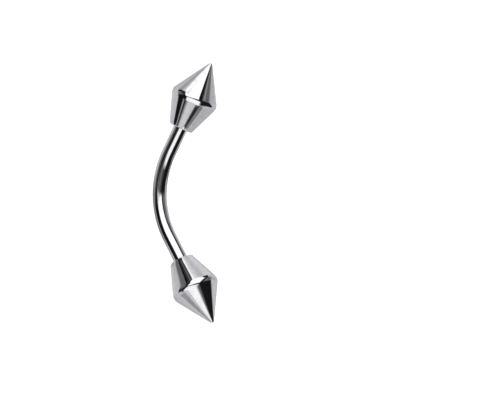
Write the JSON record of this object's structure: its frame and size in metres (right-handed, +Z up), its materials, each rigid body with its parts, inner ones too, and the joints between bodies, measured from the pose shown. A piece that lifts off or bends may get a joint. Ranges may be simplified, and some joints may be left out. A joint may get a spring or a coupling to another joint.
{
  "type": "eyebrow barbell",
  "caption": "Curved bar with a double-cone spike screwed onto each end, lying as it rests by itself.",
  "frame": {"origin": "middle of the footprint, on the surface that the barbell lies on", "axes": "+Y from the lower spike towards the upper one, the bar's bulge towards -X, +Z up"},
  "size_m": [0.0058, 0.024, 0.0043],
  "materials": {
    "bar": "mirror-polished 316L stainless steel",
    "spike": "turned and mirror-polished 316L stainless steel"
  },
  "bodies": {
    "bar": {"curved_bar": "bar"},
    "upper_spike": {"upper_spike": "spike"},
    "lower_spike": {"lower_spike": "spike"}
  },
  "joints": [
    {"name": "upper_spike_unscrews", "type": "slide", "parent": "bar", "child": "upper_spike", "axis": [0.4154, 0.887, 0.2016], "range_m": [0, 0.003]},
    {"name": "lower_spike_unscrews", "type": "slide", "parent": "bar", "child": "lower_spike", "axis": [0.4154, -0.887, 0.2016], "range_m": [0, 0.003]}
  ]
}
